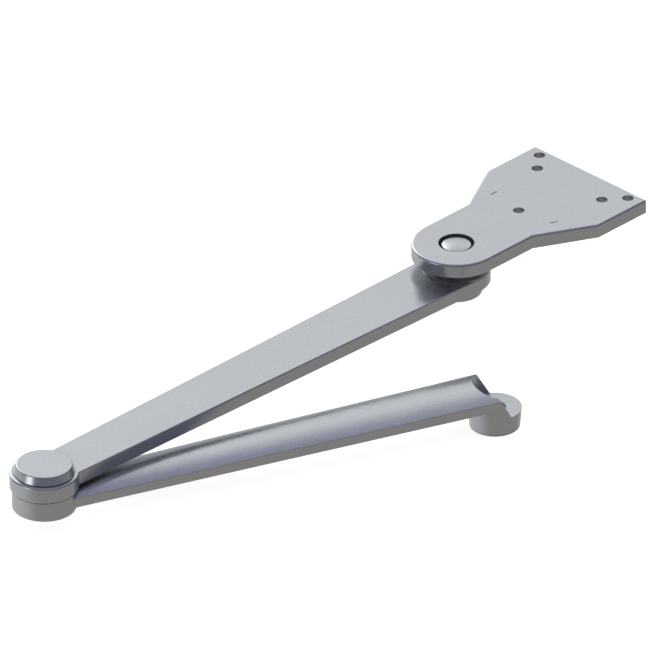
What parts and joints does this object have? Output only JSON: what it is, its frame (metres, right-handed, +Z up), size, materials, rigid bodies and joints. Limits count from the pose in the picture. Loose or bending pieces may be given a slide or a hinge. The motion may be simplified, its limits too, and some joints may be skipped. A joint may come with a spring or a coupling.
{
  "type": "door closer arm",
  "caption": "Heavy-duty rigid parallel arm of a surface door closer: soffit plate, flat tapered forearm and crowned main arm that fold about two pivots.",
  "frame": {"origin": "mouth of the centre screw hole in the soffit plate's upper face, which lies against the frame", "axes": "+X along the soffit plate from its pivot to its wide end and along the longest extent, +Z up into the door frame, +Y across the plate"},
  "size_m": [0.5128, 0.1746, 0.0584],
  "materials": {
    "sprayed_metal_plate": "satin sprayed aluminium",
    "sprayed_metal_forearm": "satin sprayed aluminium",
    "sprayed_metal_main_arm": "satin sprayed aluminium",
    "sprayed_metal_cap": "satin sprayed aluminium",
    "sprayed_metal_collar": "satin sprayed aluminium",
    "sprayed_metal_stud": "satin sprayed aluminium",
    "sprayed_metal_spacer": "satin sprayed aluminium",
    "bearing_bronze": "machined bearing bronze",
    "ground_steel": "ground steel",
    "washer_steel": "hardened steel",
    "spring_steel": "dark oiled spring steel"
  },
  "bodies": {
    "shoe": {"soffit_plate": "sprayed_metal_plate", "shoe_stud": "sprayed_metal_stud", "shoe_spacer": "sprayed_metal_spacer", "shoe_lower_washer": "washer_steel", "shoe_disc_springs": "spring_steel", "shoe_collar": "sprayed_metal_collar", "shoe_retaining_ring": "spring_steel"},
    "forearm": {"forearm": "sprayed_metal_forearm", "shoe_thrust_washer": "washer_steel", "shoe_upper_bush": "bearing_bronze", "shoe_lower_bush": "bearing_bronze", "elbow_cap": "sprayed_metal_cap", "elbow_upper_bush": "bearing_bronze", "elbow_lower_bush": "bearing_bronze", "elbow_wear_washer": "washer_steel"},
    "main_arm": {"main_arm": "sprayed_metal_main_arm", "elbow_pin": "ground_steel", "elbow_top_washer": "washer_steel", "elbow_disc_springs": "spring_steel", "elbow_retaining_ring": "spring_steel"}
  },
  "joints": [
    {"name": "shoe_pivot", "type": "hinge", "parent": "shoe", "child": "forearm", "pos_m": [-0.0575, 0, -0.022], "axis": [0, 0, 1], "continuous": true},
    {"name": "elbow_pivot", "type": "hinge", "parent": "forearm", "child": "main_arm", "pos_m": [-0.42392, 0.00768, -0.03], "axis": [0, 0, 1], "continuous": true}
  ]
}
